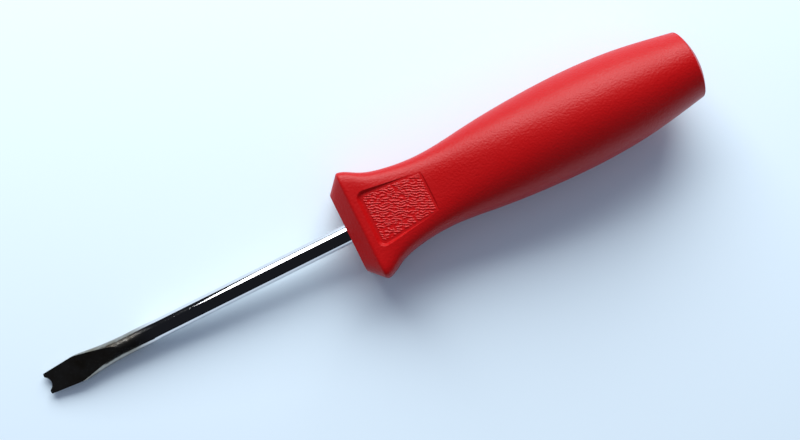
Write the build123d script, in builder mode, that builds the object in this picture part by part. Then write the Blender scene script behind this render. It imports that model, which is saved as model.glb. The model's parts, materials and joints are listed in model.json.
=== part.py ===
from build123d import *
from math import atan2, cos, degrees, pi, sin
import os

# Red-handled driver with a notched forged blade, lying on a bench.
# The tool has its own frame: x runs along the shank from the guard's front face towards the butt,
# y is sideways and z is square to the two flats of the guard. All lengths are millimetres.

# ---- Handle sections, each at its distance behind the guard's front face ----
front_width = 22.8
front_height = 10.0
front_squareness = 6.0
ridge_at = 4.3
ridge_width = 31.25
ridge_height = 17.8
ridge_squareness = 8.0
flare_at = 9.5
flare_width = 26.7
flare_height = 17.8
flare_squareness = 6.2
throat_at = 16.0
throat_width = 22.9
throat_height = 17.7
throat_squareness = 4.8
neck_at = 26.0
neck_width = 21.3
neck_height = 18.3
neck_squareness = 3.4
swell_at = 40.0
swell_width = 24.0
swell_height = 22.0
swell_squareness = 2.45
grip_at = 56.0
grip_width = 26.6
grip_height = 25.9
grip_squareness = 2.08
belly_at = 70.0
belly_diameter = 27.2
taper_at = 88.0
taper_diameter = 24.6
rim_at = 102.7
rim_diameter = 19.5
dome_rise = 2.4
round_squareness = 2.0
ridge_lead = 0.55  # the bevel stops this far before the ridge
ridge_lead_drop = 0.34  # and this far inside it
ridge_trail = 0.8  # the ridge has rolled over this far behind
ridge_trail_drop = 0.1  # with this much less at each side
front_round = 0.5
rim_round = 0.45
outline_points = 48  # points that each section's smooth outline runs through
corner_crowding = 0.6  # how much closer they stand at the corners than on the sides

# ---- Thumb recess in each flat of the guard ----
recess_front = 7.0
recess_rear = 24.5
recess_front_width = 14.8
recess_rear_width = 12.0
recess_front_depth = 0.9
recess_rear_depth = 0.4
recess_corner = 1.3
recess_wall_slope = 45.0  # degrees off upright
recess_reach = 2.0  # how far the cutter stands above the recess floor
plane_slack = 0.05  # how near an edge's centre lies to a plane that it is looked for in

# ---- Shank and forged blade ----
shank_diameter = 5.5
forging_length = 33.5
flat_length = 22.2
shoulder_from_tip = 10.3
blade_length = 91.5
shoulder_width = 7.6
tip_width = 5.9
shoulder_thickness = 2.2
tip_thickness = 1.0
shoulder_blend = 30.0
notch_width = 3.8
notch_depth = 1.25
ear_round = 0.35
waist_from_tip = 25.0
waist_width = 5.6
flare_from_tip = 17.0
flare_out_width = 6.25
spread_from_tip = 13.3
spread_width = 7.0
shoulder_grind = 0.1  # what grinding takes off the forging's width at the shoulder
tip_grind = 3.7  # and at the tip

# ---- Tang inside the handle ----
tang_length = 55.0
tang_chamfer = 0.8
wing_start = 29.0
wing_length = 14.0
wing_ramp = 2.5
wing_span = 8.4
wing_thickness = 1.6
moulding_clearance = 0.03

# ---- How the tool lies: on the guard's lower ridge and on the swell of the handle ----
under_sections = (
    (swell_at, swell_height / 2),
    (grip_at, grip_height / 2),
    (belly_at, belly_diameter / 2),
    (taper_at, taper_diameter / 2),
)
lean = max(atan2(drop - ridge_height / 2, x - ridge_at) for x, drop in under_sections)
handle_length = rim_at + dome_rise
rim_radius = rim_diameter / 2
dome_radius = (rim_radius**2 + dome_rise**2) / (2 * dome_rise)
butt_reach = (handle_length - dome_radius) * cos(lean) + dome_radius
tip_reach = blade_length * cos(lean) + tip_thickness / 2 * sin(lean)
axis_height = ridge_height / 2 * cos(lean) - ridge_at * sin(lean)

tool = Plane(
    origin=((tip_reach - butt_reach) / 2, 0, axis_height),
    x_dir=(cos(lean), 0, sin(lean)),
    z_dir=(-sin(lean), 0, cos(lean)),
)
profile = Plane(origin=tool.origin, x_dir=tool.x_dir, z_dir=(0, -1, 0))
tool_axis = Axis(tool.origin, tool.x_dir)


def across(x):
    """Plane square to the tool's axis, with its own x sideways and its own y up."""
    return Plane(origin=tool.from_local_coords(Vector(x, 0, 0)), x_dir=(0, 1, 0), z_dir=tool.x_dir)


def handle_section(x, width, height, squareness):
    """Section that runs from a true round at squareness 2 towards a rectangle with soft corners."""
    points = []
    for step in range(outline_points):
        turn = 2 * pi * step / outline_points
        angle = turn + corner_crowding * sin(4 * turn) / 4
        total = abs(cos(angle)) ** squareness + abs(sin(angle)) ** squareness
        reach = total ** (-1 / squareness)
        points.append(Vector(width / 2 * reach * cos(angle), height / 2 * reach * sin(angle)))
    steps = range(outline_points + 1)
    with BuildSketch(across(x)) as section:
        with BuildLine():
            add(Edge.make_spline(points, periodic=True, parameters=list(steps)))
        make_face()
    return section.sketch.face()


def tang_form(clearance):
    """Buried end of the shank: a round bar with two coined wings that stop it turning."""
    wing_end = wing_start + wing_length
    root = shank_diameter / 2
    with BuildPart() as form:
        with BuildSketch(across(0)):
            Circle(shank_diameter / 2 + clearance)
        extrude(amount=tang_length + clearance)
        chamfer(form.edges().group_by(tool_axis)[-1], tang_chamfer)
        with BuildSketch(tool.offset(-wing_thickness / 2 - clearance)):
            with BuildLine():
                Polyline(
                    (wing_start, 0),
                    (wing_start, root),
                    (wing_start + wing_ramp, wing_span / 2),
                    (wing_end - wing_ramp, wing_span / 2),
                    (wing_end, root),
                    (wing_end, 0),
                    close=True,
                )
            make_face()
            mirror(about=Plane.XZ)
            offset(amount=clearance, kind=Kind.INTERSECTION)
        extrude(amount=wing_thickness + 2 * clearance)
    return form.part


def forged_section(from_tip, width):
    """Oval section of the forging, as high as the shank it is beaten from."""
    with BuildSketch(across(from_tip - blade_length)) as section:
        Ellipse(width / 2, shank_diameter / 2)
    return section.sketch.face()


def edges_at(solid, x):
    """Edges that lie in the plane square to the axis at x."""
    return solid.edges().filter_by_position(tool_axis, x - plane_slack, x + plane_slack)


tang = tang_form(0)
tang_pocket = tang_form(moulding_clearance)

# The round barrel keeps its taper past the rim, where the domed butt cuts it off.
butt_taper = (taper_diameter - rim_diameter) / (rim_at - taper_at)
butt_diameter = rim_diameter - butt_taper * dome_rise
front_face = handle_section(0, front_width, front_height, front_squareness)
bevel_end = handle_section(
    ridge_at - ridge_lead,
    ridge_width - 2 * ridge_lead_drop,
    ridge_height - 2 * ridge_lead_drop,
    ridge_squareness,
)
grip_sections = [
    bevel_end,
    handle_section(ridge_at, ridge_width, ridge_height, ridge_squareness),
    handle_section(
        ridge_at + ridge_trail,
        ridge_width - 2 * ridge_trail_drop,
        ridge_height,
        ridge_squareness,
    ),
    handle_section(flare_at, flare_width, flare_height, flare_squareness),
    handle_section(throat_at, throat_width, throat_height, throat_squareness),
    handle_section(neck_at, neck_width, neck_height, neck_squareness),
    handle_section(swell_at, swell_width, swell_height, swell_squareness),
    handle_section(grip_at, grip_width, grip_height, grip_squareness),
    handle_section(belly_at, belly_diameter, belly_diameter, round_squareness),
    handle_section(taper_at, taper_diameter, taper_diameter, round_squareness),
    handle_section(rim_at, rim_diameter, rim_diameter, round_squareness),
    handle_section(handle_length, butt_diameter, butt_diameter, round_squareness),
]

floor_front = ridge_height / 2 - recess_front_depth
floor_rear = neck_height / 2 - recess_rear_depth
recess_length = recess_rear - recess_front
floor_lean = lean + atan2(floor_rear - floor_front, recess_length)
recess_floor = Plane(
    origin=tool.from_local_coords(Vector(recess_front, 0, floor_front)),
    x_dir=(cos(floor_lean), 0, sin(floor_lean)),
    z_dir=(-sin(floor_lean), 0, cos(floor_lean)),
)

# ---- Cutter for the two thumb recesses: flat floors with sloping walls ----
with BuildPart() as recess_cutter:
    with BuildSketch(recess_floor):
        with BuildLine():
            Polyline(
                (0, recess_front_width / 2),
                (0, -recess_front_width / 2),
                (recess_length, -recess_rear_width / 2),
                (recess_length, recess_rear_width / 2),
                close=True,
            )
        outline = make_face()
        fillet(outline.vertices().group_by(Axis.X)[0], recess_corner)
    extrude(amount=recess_reach, taper=-recess_wall_slope)
    mirror(about=tool)

# ---- Handle: one moulding ----
with BuildPart() as handle:
    loft(sections=grip_sections)
    loft(sections=[front_face, bevel_end], ruled=True)
    with BuildSketch(profile):
        with BuildLine():
            dome_centre = handle_length - dome_radius
            Line((handle_length, 0), (-front_height, 0))
            Line((-front_height, 0), (-front_height, dome_radius))
            Line((-front_height, dome_radius), (dome_centre, dome_radius))
            CenterArc((dome_centre, 0), dome_radius, 0, 90)
        make_face()
    revolve(axis=tool_axis, mode=Mode.INTERSECT)
    fillet(edges_at(handle, rim_at), rim_round)
    fillet(edges_at(handle, 0), front_round)
    add(recess_cutter.part, mode=Mode.SUBTRACT)
    add(tang_pocket, mode=Mode.SUBTRACT)

# ---- Shaft: one forging, from the notched tip to the end of the buried tang ----
forging_start = forging_length - blade_length
shoulder_at = shoulder_from_tip - blade_length
shank_radius = shank_diameter / 2
forged_sections = [
    forged_section(forging_length, shank_diameter),
    forged_section(waist_from_tip, waist_width),
    forged_section(flare_from_tip, flare_out_width),
    forged_section(spread_from_tip, spread_width),
    forged_section(shoulder_from_tip, shoulder_width + shoulder_grind),
    forged_section(0, tip_width + tip_grind),
]
flat_run = (flat_length - shoulder_from_tip) / (shank_radius - shoulder_thickness / 2)
clear_height = 1.5 * shank_radius
wedge_end = shoulder_at + flat_run * (clear_height - shoulder_thickness / 2)
notch_radius = (notch_width**2 / 4 + notch_depth**2) / (2 * notch_depth)

with BuildPart() as shaft:
    loft(sections=forged_sections)
    # Ground outline of the blade, seen square to its flats, with the notch between two ears.
    with BuildSketch(tool):
        with BuildLine():
            Polyline(
                (-blade_length, tip_width / 2),
                (-blade_length, -tip_width / 2),
                (shoulder_at, -shoulder_width / 2),
                (forging_start, -shoulder_width),
                (forging_start, shoulder_width),
                (shoulder_at, shoulder_width / 2),
                close=True,
            )
        make_face()
        with Locations((notch_depth - notch_radius - blade_length, 0)):
            Circle(notch_radius, mode=Mode.SUBTRACT)
        fillet(vertices().group_by(Axis.X)[0], ear_round)
    extrude(amount=shank_diameter, both=True, mode=Mode.INTERSECT)
    # Wedge of the two flats, seen from the side.
    with BuildSketch(profile):
        with BuildLine():
            Polyline(
                (-blade_length, tip_thickness / 2),
                (shoulder_at, shoulder_thickness / 2),
                (wedge_end, clear_height),
                (forging_start, clear_height),
                (forging_start, -clear_height),
                (wedge_end, -clear_height),
                (shoulder_at, -shoulder_thickness / 2),
                (-blade_length, -tip_thickness / 2),
                close=True,
            )
        make_face()
        fillet(vertices().group_by(Axis.X)[1], shoulder_blend)
    extrude(amount=shoulder_width, both=True, mode=Mode.INTERSECT)
    with BuildSketch(across(forging_start)):
        Circle(shank_radius)
    extrude(amount=-forging_start)
    add(tang)

handle.part.label = "handle"
shaft.part.label = "shaft"

os.makedirs("parts", exist_ok=True)
export_step(handle.part, "parts/handle.step")
export_step(shaft.part, "parts/shaft.step")
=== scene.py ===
# %% [markdown]
# # A notched pry driver on a sheet of paper
# The tool is a hand driver: a bright plated shank, forged flat and notched at its tip, moulded
# into a red handle whose guard has a textured thumb recess in each flat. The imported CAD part
# gives every shape and place. This script adds the fine texture in the recesses, the finishes,
# the paper under the tool and the window light.

import json
from math import cos, pi, radians, sin

import bmesh
import bpy
from mathutils import Matrix, Vector, noise


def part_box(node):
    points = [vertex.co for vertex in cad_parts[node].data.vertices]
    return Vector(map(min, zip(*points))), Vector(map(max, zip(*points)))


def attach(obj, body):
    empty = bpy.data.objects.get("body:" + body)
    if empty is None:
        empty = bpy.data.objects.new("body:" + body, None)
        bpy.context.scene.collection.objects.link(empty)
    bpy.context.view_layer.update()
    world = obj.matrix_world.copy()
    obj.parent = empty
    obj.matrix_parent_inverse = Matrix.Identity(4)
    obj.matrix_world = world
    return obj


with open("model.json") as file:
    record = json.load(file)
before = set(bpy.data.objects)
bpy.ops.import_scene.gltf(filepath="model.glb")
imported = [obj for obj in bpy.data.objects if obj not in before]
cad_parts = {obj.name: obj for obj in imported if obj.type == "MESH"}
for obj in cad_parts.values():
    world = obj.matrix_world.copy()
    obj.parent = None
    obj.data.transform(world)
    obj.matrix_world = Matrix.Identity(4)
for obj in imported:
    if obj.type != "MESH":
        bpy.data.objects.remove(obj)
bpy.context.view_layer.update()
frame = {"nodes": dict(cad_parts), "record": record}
scene = bpy.context.scene
scene.view_settings.view_transform = "Standard"
handle = frame["nodes"]["handle"]
shaft = frame["nodes"]["shaft"]

# %% [markdown]
# ## The tool's own axes
# The tool lies on the guard's lower ridge and on its barrel, so its axis leans a little. The
# record's mount is the guard's front face, square to that axis: it gives the axis and the point
# where the shank leaves the guard. The recesses are laid out in these axes, as a designer would
# lay them out on the handle's own drawing.

# %% Work out the tool's axes from the record's mount
mount = frame["record"]["mounts"][0]
along = -Vector(mount["axis"]).normalized()
sideways = Vector((0, 1, 0))
upward = along.cross(sideways)
guard_front = Vector((mount["pos_m"][0], 0, mount["pos_m"][2]))
tool_axes = Matrix.Translation(guard_front) @ Matrix((along, sideways, upward)).transposed().to_4x4()
print("guard front at", [round(v, 4) for v in guard_front], "axis", [round(v, 3) for v in along])

# %% [markdown]
# ## Camera
# The picture is taken from almost straight above, with the camera held a little towards the
# blade and the near side. The tool runs up across the picture from the lower left, so the camera
# is turned round its own line of sight. A mild lens at hand-held distance gives the weak
# perspective.

# %% Camera
MM = 0.001  # the frame is in metres, and sizes below are given in millimetres
camera_distance = 320 * MM
camera_turn = radians(26.5)
camera_tilt_near = radians(3.5)
camera_tilt_blade = radians(4.5)
aim_along = 14.0 * MM
aim_sideways = -2.9 * MM
lens = 53
sensor_width = 36
aim = tool_axes @ Vector((aim_along, aim_sideways, 0))
backward = Vector((-sin(camera_tilt_blade), -sin(camera_tilt_near), 1)).normalized()
picture_up = Vector((sin(camera_turn), cos(camera_turn), 0))
picture_up = (picture_up - picture_up.dot(backward) * backward).normalized()
picture_right = picture_up.cross(backward)
camera_data = bpy.data.cameras.new("camera")
camera_data.lens = lens
camera_data.sensor_width = sensor_width
camera = bpy.data.objects.new("camera", camera_data)
camera_axes = Matrix((picture_right, picture_up, backward)).transposed().to_4x4()
camera.matrix_world = Matrix.Translation(aim + backward * camera_distance) @ camera_axes
scene.collection.objects.link(camera)
scene.camera = camera
print("camera at", [round(v, 3) for v in camera.location])


# %% [markdown]
# ## Small helpers for materials
# Every finish is worked out by nodes from Object coordinates, so its pattern stays on the piece.
# The helpers only save repetition: they add a node with its plain values, start a material,
# start a node group, and place a group in a material.

# %% Material helpers
def add_node(tree, kind, **values):
    """Adds a shader node and sets its properties, or its sockets where no property has the name."""
    node = tree.nodes.new(kind)
    for name, value in values.items():
        if hasattr(node, name):
            setattr(node, name, value)
        else:
            node.inputs[name.replace("_", " ").title()].default_value = value
    return node


def new_material(name):
    """A material with only its output and a Principled BSDF: (material, node tree, shader)."""
    material = bpy.data.materials.new(name)
    material.use_nodes = True
    tree = material.node_tree
    return material, tree, tree.nodes["Principled BSDF"]


def new_group(name, inputs, outputs):
    """A node group with named sockets: (group, its input node, its output node)."""
    group = bpy.data.node_groups.new(name, "ShaderNodeTree")
    for label, kind in inputs:
        group.interface.new_socket(name=label, in_out="INPUT", socket_type=kind)
    for label, kind in outputs:
        group.interface.new_socket(name=label, in_out="OUTPUT", socket_type=kind)
    return group, group.nodes.new("NodeGroupInput"), group.nodes.new("NodeGroupOutput")


def use_group(tree, group, scale):
    """Places a group in a material with its own scale and feeds it Object coordinates."""
    node = tree.nodes.new("ShaderNodeGroup")
    node.node_tree = group
    place = tree.nodes.new("ShaderNodeTexCoord")
    tree.links.new(place.outputs["Object"], node.inputs["Place"])
    node.inputs["Scale"].default_value = scale
    return node


print("material helpers ready")

# %% [markdown]
# ## Shared effects
# Two effects show on more than one material. Fine grain is the matt texture that a spark-eroded
# mould leaves on plastic, and the same kind of pattern, coarser, is the skin of a forging.
# Handling marks are the broad, faint patches where hands and cloths have left the surface a
# little duller. Both are groups that give out heights and masks only.

# %% Node group: fine grain
grain_group, grain_in, grain_out = new_group(
    "fine_grain",
    (("Place", "NodeSocketVector"), ("Scale", "NodeSocketFloat")),
    (("Height", "NodeSocketFloat"),),
)
grain_noise = add_node(grain_group, "ShaderNodeTexNoise", detail=2.0, roughness=0.5)
grain_group.links.new(grain_in.outputs["Place"], grain_noise.inputs["Vector"])
grain_group.links.new(grain_in.outputs["Scale"], grain_noise.inputs["Scale"])
grain_group.links.new(grain_noise.outputs["Fac"], grain_out.inputs["Height"])
print("node group:", grain_group.name)

# %% Node group: handling marks
marks_group, marks_in, marks_out = new_group(
    "handling_marks",
    (("Place", "NodeSocketVector"), ("Scale", "NodeSocketFloat")),
    (("Mask", "NodeSocketFloat"),),
)
marks_noise = add_node(marks_group, "ShaderNodeTexNoise", detail=4.0, roughness=0.6)
marks_range = add_node(marks_group, "ShaderNodeMapRange", from_min=0.35, from_max=0.7)
marks_group.links.new(marks_in.outputs["Place"], marks_noise.inputs["Vector"])
marks_group.links.new(marks_in.outputs["Scale"], marks_noise.inputs["Scale"])
marks_group.links.new(marks_noise.outputs["Fac"], marks_range.inputs["Value"])
marks_group.links.new(marks_range.outputs["Result"], marks_out.inputs["Mask"])
print("node group:", marks_group.name)


# %% [markdown]
# ## Red plastic
# The handle is one injection moulding in deep red plastic, semi-gloss because the mould has a
# fine eroded grain. The recess texture is the same plastic from a deeper etched patch of the
# mould, so one function makes both finishes, with a coarser grain for the handle's skin. The
# grain only bends the light, as it is far too shallow to change an outline.

# %% Red plastic finishes
plastic_shine = 0.25
grain_depth = 0.1 * MM
plastic_marks_scale = 60
marks_dulling = 0.06


def red_plastic(name, colour, dullness, grain_scale, grain_strength):
    """Semi-gloss moulded plastic with a fine grain and faint handling marks."""
    material, tree, shader = new_material(name)
    shader.inputs["Base Color"].default_value = (*colour, 1)
    shader.inputs["Specular IOR Level"].default_value = plastic_shine
    grain = use_group(tree, grain_group, grain_scale)
    bump = add_node(tree, "ShaderNodeBump", strength=grain_strength, distance=grain_depth)
    tree.links.new(grain.outputs["Height"], bump.inputs["Height"])
    tree.links.new(bump.outputs["Normal"], shader.inputs["Normal"])
    marks = use_group(tree, marks_group, plastic_marks_scale)
    dulling = add_node(tree, "ShaderNodeMapRange", to_min=dullness, to_max=dullness + marks_dulling)
    tree.links.new(marks.outputs["Mask"], dulling.inputs["Value"])
    tree.links.new(dulling.outputs["Result"], shader.inputs["Roughness"])
    return material


skin_plastic = red_plastic("red_skin", (0.44, 0.0004, 0.001), 0.36, 1700, 1.0)
etched_plastic = red_plastic("red_etched", (0.50, 0.001, 0.002), 0.33, 5000, 0.3)
handle.data.materials.clear()
handle.data.materials.append(skin_plastic)
print("handle finish:", handle.data.materials[0].name)

# %% [markdown]
# ## Plated shank and forged blade
# Shank and blade are one bar. The round shank is bright under its plating, so it mirrors the
# window and the dark room. Towards the tip the bar was forged: there the plating follows the
# forging's skin and is duller and slightly brown. The change runs over a few millimetres along
# the bar, so one material mixes both by its distance from the tip. Two materials would leave a
# hard line where they meet.

# %% Where the bar turns from bright to forged
forging_length = 33.5 * MM
forging_blend = 9 * MM
forging_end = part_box("shaft")[0][0] + forging_length
steel, steel_tree, steel_shader = new_material("plated_bar")
steel_shader.inputs["Metallic"].default_value = 1
steel_place = steel_tree.nodes.new("ShaderNodeTexCoord")
steel_split = steel_tree.nodes.new("ShaderNodeSeparateXYZ")
steel_tree.links.new(steel_place.outputs["Object"], steel_split.inputs["Vector"])
forged = add_node(
    steel_tree,
    "ShaderNodeMapRange",
    interpolation_type="SMOOTHSTEP",
    from_min=forging_end,
    from_max=forging_end - forging_blend,
)
steel_tree.links.new(steel_split.outputs["X"], forged.inputs["Value"])
print("forged from the tip to x =", round(forging_end, 4))

# %% Colour of the bar
forging_marks_scale = 260
plating_colour = (0.80, 0.80, 0.82, 1)
forging_colour = (0.38, 0.37, 0.34, 1)
forging_brown = (0.24, 0.20, 0.15, 1)
steel_marks = use_group(steel_tree, marks_group, forging_marks_scale)
brown = add_node(steel_tree, "ShaderNodeMix", data_type="RGBA")
brown.inputs["A"].default_value = forging_colour
brown.inputs["B"].default_value = forging_brown
steel_tree.links.new(steel_marks.outputs["Mask"], brown.inputs["Factor"])
bar_colour = add_node(steel_tree, "ShaderNodeMix", data_type="RGBA")
bar_colour.inputs["A"].default_value = plating_colour
steel_tree.links.new(forged.outputs["Result"], bar_colour.inputs["Factor"])
steel_tree.links.new(brown.outputs["Result"], bar_colour.inputs["B"])
steel_tree.links.new(bar_colour.outputs["Result"], steel_shader.inputs["Base Color"])
print("bar colours: plating", plating_colour, "forging", forging_colour)

# %% Dullness and skin of the bar
plating_dullness = 0.05
forging_dullness = 0.22
forging_grain_scale = 900
forging_grain_depth = 0.08 * MM
forging_grain_strength = 0.35
bar_dulling = add_node(
    steel_tree, "ShaderNodeMapRange", to_min=plating_dullness, to_max=forging_dullness
)
steel_tree.links.new(forged.outputs["Result"], bar_dulling.inputs["Value"])
steel_tree.links.new(bar_dulling.outputs["Result"], steel_shader.inputs["Roughness"])
skin_grain = use_group(steel_tree, grain_group, forging_grain_scale)
skin_height = add_node(steel_tree, "ShaderNodeMath", operation="MULTIPLY")
steel_tree.links.new(skin_grain.outputs["Height"], skin_height.inputs[0])
steel_tree.links.new(forged.outputs["Result"], skin_height.inputs[1])
steel_bump = add_node(
    steel_tree, "ShaderNodeBump", strength=forging_grain_strength, distance=forging_grain_depth
)
steel_tree.links.new(skin_height.outputs["Value"], steel_bump.inputs["Height"])
steel_tree.links.new(steel_bump.outputs["Normal"], steel_shader.inputs["Normal"])
shaft.data.materials.clear()
shaft.data.materials.append(steel)
print("shaft finish:", shaft.data.materials[0].name)

# %% [markdown]
# ## Etched texture in the thumb recesses
# The floor of each recess carries a leather-like texture: short wavy ridges about two thirds of
# a millimetre apart that give the thumb a hold. A bump would do for a shallow grain, but these
# ridges are deep enough to catch the light one by one, so they are real geometry. A grid is
# extruded to a closed sheet, laid on the recess floor, and its upper points are raised by a wave
# across the ridges. Slow noise bends the wave, and a second noise breaks it into short lengths.

# %% Recess sizes, in the tool's axes, in millimetres
recess_front = 7.0
recess_rear = 24.5
recess_length = recess_rear - recess_front
recess_front_width = 14.8
recess_rear_width = 12.0
recess_front_height = 8.0
recess_rear_height = 8.75
recess_corner = 1.3
print("recess floor:", recess_length, "mm long,", recess_front_width, "mm wide in front")

# %% [markdown]
# ## Where the texture ends
# The texture stops a little short of the recess walls. Its height fades there and the sheet dips
# under the recess floor, so that no edge of the sheet shows.

# %% Mask of the texture
texture_margin = 0.35
texture_fade = 0.5


def texture_mask(x, y, half_width):
    """0 at the texture's border and 1 inside it, with rounded corners at the front."""
    to_side = half_width - texture_margin - abs(y)
    to_front = x - recess_front - texture_margin
    to_rear = recess_rear - texture_margin - x
    edge = min(to_side, to_front, to_rear)
    if to_side < recess_corner and to_front < recess_corner:
        corner = Vector((recess_corner - to_side, recess_corner - to_front))
        edge = recess_corner - corner.length
    level = max(0.0, min(1.0, edge / texture_fade))
    return level * level * (3 - 2 * level)


middle = (recess_front + recess_rear) / 2
print("mask in the middle:", texture_mask(middle, 0, recess_rear_width / 2))

# %% [markdown]
# ## The ridges
# A mould maker gets such a texture by etching the mould through a drawn pattern. Here a sine wave
# stands for the drawn lines. It runs slantwise over the recess, at the same angle in both flats.

# %% Height of the ridges
ridge_pitch = 0.68
ridge_lean = radians(27)
bend_size = (1.7, 1.7)  # millimetres along and across the ridges, as for the next two noises
ripple_size = (0.55, 0.8)
break_size = (0.95, 0.5)
bend_layer, ripple_layer, break_layer = 3.1, 7.7, 11.3  # far enough apart to be unlike
bend_share = 0.75  # how far slow noise shifts the wave, in ridge pitches
ripple_share = 0.28
usual_level = 0.75  # height of a ridge that no noise changes
break_strength = 1.5


def layer_noise(run, rise, size, layer):
    """Smooth noise from about -1 to 1, of a given size along and across the ridges."""
    return noise.noise(Vector((run / size[0], rise / size[1], layer)))


def ridge_level(x, y):
    """Height of the leather-like ridges at a point of the floor, from 0 to 1."""
    run = x * cos(ridge_lean) - y * sin(ridge_lean)
    rise = x * sin(ridge_lean) + y * cos(ridge_lean)
    bend = layer_noise(run, rise, bend_size, bend_layer)
    ripple = layer_noise(run, rise, ripple_size, ripple_layer)
    wave = sin(2 * pi * (rise / ridge_pitch + bend_share * bend + ripple_share * ripple))
    strength = usual_level + break_strength * layer_noise(run, rise, break_size, break_layer)
    return (0.5 + 0.5 * wave) * max(0.0, min(1.0, strength))


print("ridges every", ridge_pitch, "mm")

# %% [markdown]
# ## The sheets
# The upper flat shows its recess, and the lower flat has the same one. Each sheet is a piece of
# its own that rides on the handle's body and takes the handle's finish.

# %% Sizes of the sheets
grid_step = 0.1
rows = round(recess_length / grid_step)
columns = round(recess_front_width / grid_step)
ridge_height = 0.2
ridge_foot = 0.02  # how far the valleys stand above the recess floor
border_dip = 0.06  # how far the sheet's border lies under it
under_depth = 0.12  # how far the underside lies inside the handle's wall
print("sheets of", rows, "by", columns, "faces")


# %% [markdown]
# ## Making a sheet
# The grid comes one unit wide, and the extrusion leaves two copies of it joined by a rim. Each
# point is then moved to its place on the recess floor, and the whole sheet into the frame.

# %% Textured sheets
def texture_piece(name, side):
    """Closed textured sheet on the recess floor of the upper (side 1) or lower (side -1) flat."""
    mesh = bmesh.new()
    bmesh.ops.create_grid(mesh, x_segments=rows, y_segments=columns, size=0.5)
    extruded = bmesh.ops.extrude_face_region(mesh, geom=mesh.faces[:], use_keep_orig=True)
    underside = {item for item in extruded["geom"] if isinstance(item, bmesh.types.BMVert)}
    for vertex in mesh.verts:
        share = vertex.co.x + 0.5
        x = recess_front + recess_length * share
        half_width = (recess_front_width + (recess_rear_width - recess_front_width) * share) / 2
        y = 2 * half_width * vertex.co.y
        floor = recess_front_height + (recess_rear_height - recess_front_height) * share
        mask = texture_mask(x, y, half_width)
        lift = mask * (ridge_foot + ridge_height * ridge_level(x, side * y)) - (1 - mask) * border_dip
        if vertex in underside:
            lift = -under_depth
        vertex.co = (x, y, side * (floor + lift))
    bmesh.ops.transform(mesh, matrix=tool_axes @ Matrix.Scale(MM, 4), verts=mesh.verts)
    bmesh.ops.recalc_face_normals(mesh, faces=mesh.faces)
    data = bpy.data.meshes.new(name)
    mesh.to_mesh(data)
    mesh.free()
    data.materials.append(etched_plastic)
    data.shade_smooth()
    piece = bpy.data.objects.new(name, data)
    scene.collection.objects.link(piece)
    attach(piece, "root")
    return piece


for name, side in (("recess_texture_upper", 1), ("recess_texture_lower", -1)):
    piece = texture_piece(name, side)
    print(piece.name, len(piece.data.polygons), "faces")

# %% [markdown]
# ## Paper under the tool
# The tool lies on smooth white paper, which the daylight turns slightly blue. The paper is part
# of the picture and not of the object.

# %% Paper
paper_half_width = 3.0
paper_mesh = bmesh.new()
bmesh.ops.create_grid(paper_mesh, x_segments=1, y_segments=1, size=paper_half_width)
paper_data = bpy.data.meshes.new("paper")
paper_mesh.to_mesh(paper_data)
paper_mesh.free()
paper = bpy.data.objects.new("paper", paper_data)
scene.collection.objects.link(paper)
paper_finish, _, paper_shader = new_material("paper")
paper_shader.inputs["Base Color"].default_value = (0.74, 0.88, 0.95, 1)
paper_shader.inputs["Roughness"].default_value = 0.9
paper.data.materials.append(paper_finish)
print("paper laid at z =", paper.location.z)


# %% [markdown]
# ## Window light
# One large window on the far side lights the tool, low enough for the shank to mirror it as one
# white strip. An area lamp stands for it, as it is seen in the metal and gives soft shadows.

# %% Window
window_angle = radians(53)  # off upright
window_distance = 700 * MM
window_shift = 200 * MM
window_width = 0.87
window_height = 0.5
window_power = 9.6
window = bpy.data.lights.new("window", "AREA")
window.shape = "RECTANGLE"
window.size = window_width
window.size_y = window_height
window.energy = window_power
window.color = (0.97, 0.98, 1.0)
lamp = bpy.data.objects.new("window", window)
lamp.location = (window_shift, window_distance * sin(window_angle), window_distance * cos(window_angle))
lamp.rotation_euler = (-lamp.location).to_track_quat("-Z", "Y").to_euler()
scene.collection.objects.link(lamp)
print("window at", [round(v, 3) for v in lamp.location])

# %% [markdown]
# ## Room
# The rest of the room is dark where it is mirrored, which gives the shank its black band and the
# blade its dark flats, but it still sends a weak bluish light into the shadows. Light Path tells
# the two kinds of ray apart.

# %% World
room_level = 0.36
mirrored_room_level = 0.015
world = bpy.data.worlds.new("room")
scene.world = world
world.use_nodes = True
room = world.node_tree
room_light = room.nodes["Background"]
room_light.inputs["Color"].default_value = (0.72, 0.78, 1.0, 1)
ray = room.nodes.new("ShaderNodeLightPath")
room_strength = add_node(room, "ShaderNodeMapRange", to_min=room_level, to_max=mirrored_room_level)
room.links.new(ray.outputs["Is Glossy Ray"], room_strength.inputs["Value"])
room.links.new(room_strength.outputs["Result"], room_light.inputs["Strength"])
print("room light", room_level, "and", mirrored_room_level, "where it is mirrored")
